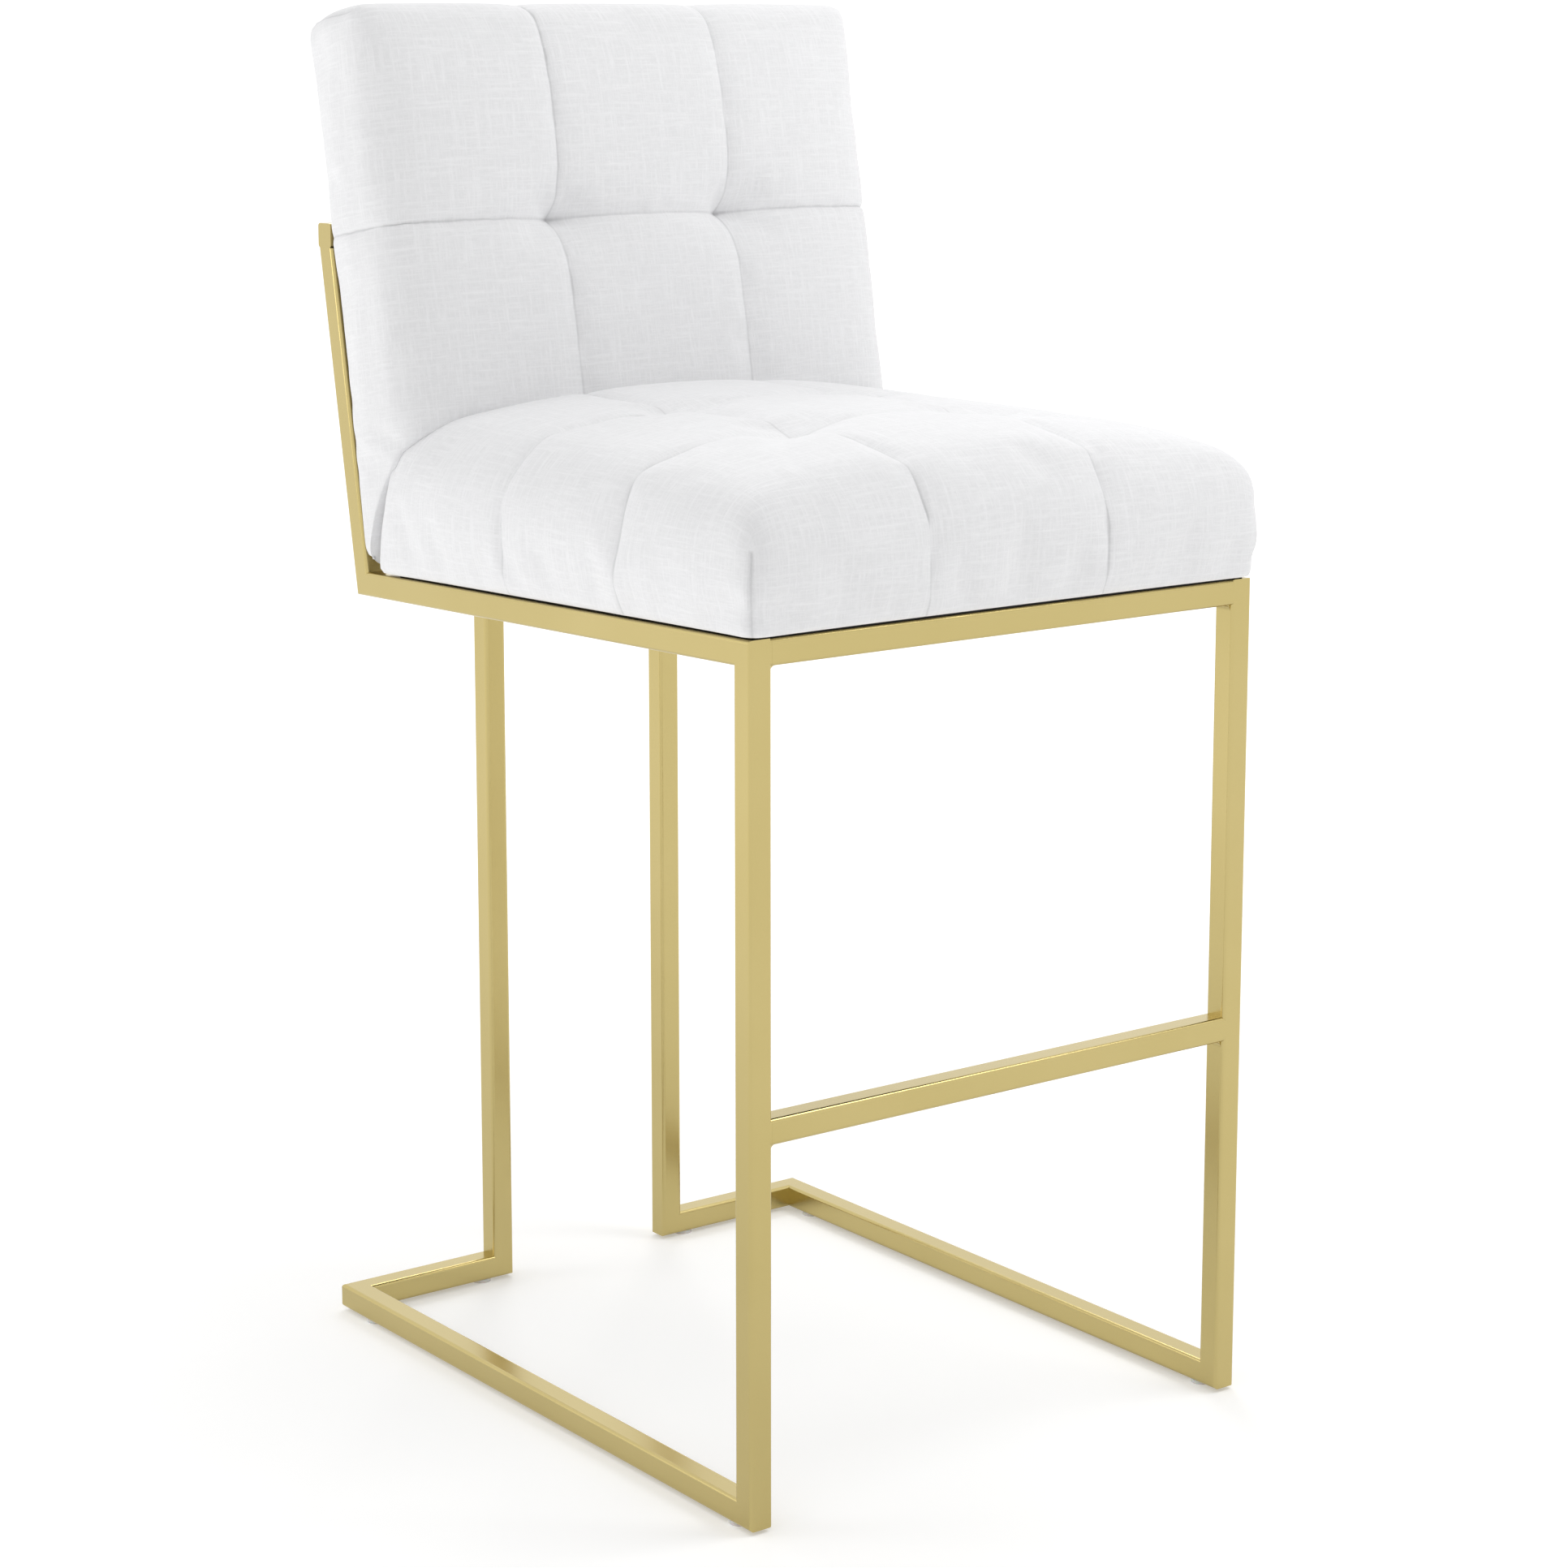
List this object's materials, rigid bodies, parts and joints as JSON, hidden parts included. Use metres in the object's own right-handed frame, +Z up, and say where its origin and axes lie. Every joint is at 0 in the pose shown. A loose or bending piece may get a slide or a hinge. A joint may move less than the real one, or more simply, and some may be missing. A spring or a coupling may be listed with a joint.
{
  "type": "bar stool with footrest",
  "caption": "High bar stool: square-tube cantilever-style welded frame with a footrest bar, tufted padded seat and low tufted padded back.",
  "frame": {"origin": "on the floor under the middle of the whole stool's bounding box", "axes": "+Z up, -Y towards the open front where the footrest is, +X to the right of someone facing the front"},
  "size_m": [0.4738, 0.579, 1.0611],
  "materials": {
    "gold_frame": "satin brushed, plated in a pale champagne gold",
    "zinc_hardware": "bright zinc plate",
    "linen_upholstery": "white slubby linen weave",
    "black_cloth": "black non-woven dust cloth",
    "plywood": "raw birch plywood",
    "glide_plastic": "frosted grey nylon"
  },
  "bodies": {
    "root": {"left_front_leg": "gold_frame", "right_front_leg": "gold_frame", "left_base_runner": "gold_frame", "right_base_runner": "gold_frame", "left_base_return": "gold_frame", "right_base_return": "gold_frame", "left_rear_leg": "gold_frame", "right_rear_leg": "gold_frame", "left_rear_spur": "gold_frame", "right_rear_spur": "gold_frame", "left_seat_rail": "gold_frame", "right_seat_rail": "gold_frame", "front_seat_rail": "gold_frame", "rear_seat_rail": "gold_frame", "left_back_upright": "gold_frame", "right_back_upright": "gold_frame", "back_cross_rail": "gold_frame", "cross_rail_end_plates": "gold_frame", "footrest_bar": "gold_frame", "seat_tabs": "gold_frame", "back_tabs": "gold_frame", "seat_screws": "zinc_hardware", "back_screws": "zinc_hardware", "seat_tee_nuts": "zinc_hardware", "back_tee_nuts": "zinc_hardware", "seat_board": "plywood", "back_board": "plywood", "seat_dust_cover": "black_cloth", "back_dust_cover": "black_cloth", "seat_cushion": "linen_upholstery", "back_cushion": "linen_upholstery", "foot_glides": "glide_plastic"}
  },
  "joints": []
}
